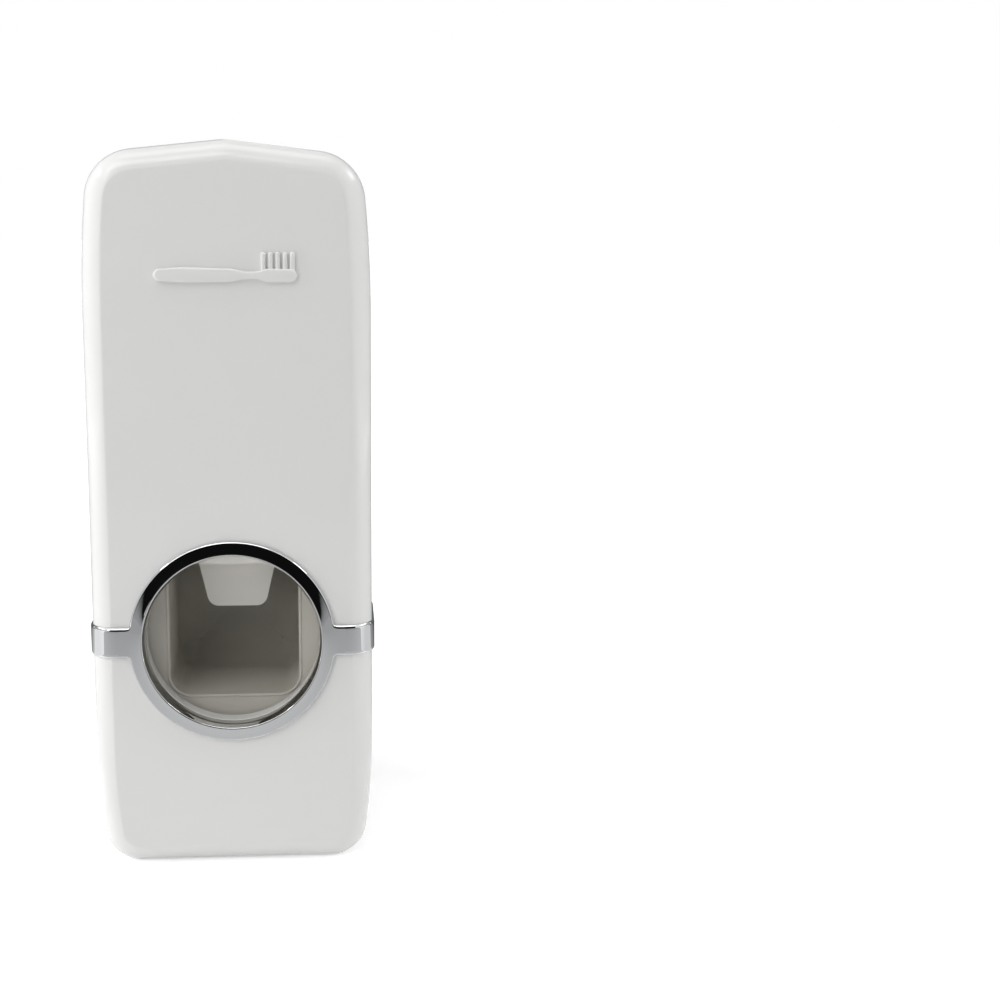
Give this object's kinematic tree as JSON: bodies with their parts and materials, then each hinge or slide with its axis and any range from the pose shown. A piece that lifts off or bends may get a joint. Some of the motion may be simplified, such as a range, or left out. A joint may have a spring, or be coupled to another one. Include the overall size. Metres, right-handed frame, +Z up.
{
  "type": "toothpaste dispenser",
  "caption": "Wall-mounted toothpaste dispenser: a brush pushed into the chromed mouth drives a sprung piston pump fed by an upturned tube behind a pull-off cover.",
  "frame": {"origin": "centre of the foam pad's face that is stuck to the wall", "axes": "+Z up along the body's height, front face towards -Y, +X to the right seen from the front"},
  "size_m": [0.0632, 0.0636, 0.162],
  "materials": {
    "white_gloss_abs": "high gloss moulded ABS, white",
    "inner_abs": "fine matt moulded ABS, warm grey",
    "pump_resin": "satin moulded polypropylene, natural white",
    "cream_acetal": "satin moulded acetal, cream white",
    "chromed_abs": "bright chrome plating on ABS",
    "silicone": "soft translucent white silicone",
    "stainless_steel": "drawn stainless steel",
    "zinc_steel": "zinc plated steel",
    "foam_tape": "closed-cell acrylic foam tape, grey"
  },
  "bodies": {
    "housing": {"adhesive_pad": "foam_tape", "rear_housing": "white_gloss_abs", "core_frame": "inner_abs", "frame_screws": "zinc_steel", "brush_chamber": "inner_abs", "pump_body": "pump_resin", "pump_screws": "zinc_steel", "pump_end_cap": "pump_resin", "end_cap_seal": "silicone", "pump_front_cap": "pump_resin", "cap_screws": "zinc_steel", "inlet_valve": "silicone", "tube_grommet": "silicone", "grommet_collar": "pump_resin", "tube_seat": "inner_abs", "return_spring": "stainless_steel"},
    "slider": {"piston": "pump_resin", "piston_seal": "silicone", "piston_rod": "stainless_steel", "push_paddle": "cream_acetal", "outlet_valve": "silicone", "valve_ring": "pump_resin"},
    "cover": {"front_cover": "white_gloss_abs", "chrome_trim": "chromed_abs", "trim_clips": "stainless_steel"}
  },
  "joints": [
    {"name": "paddle_push", "type": "slide", "parent": "housing", "child": "slider", "axis": [0, 1, 0], "range_m": [0, 0.011], "stiffness_N_per_m": 250, "springref_m": -0.006, "deforming": ["return_spring"]},
    {"name": "cover_pull", "type": "slide", "parent": "housing", "child": "cover", "axis": [0, -1, 0], "range_m": [0, 0.06]}
  ]
}
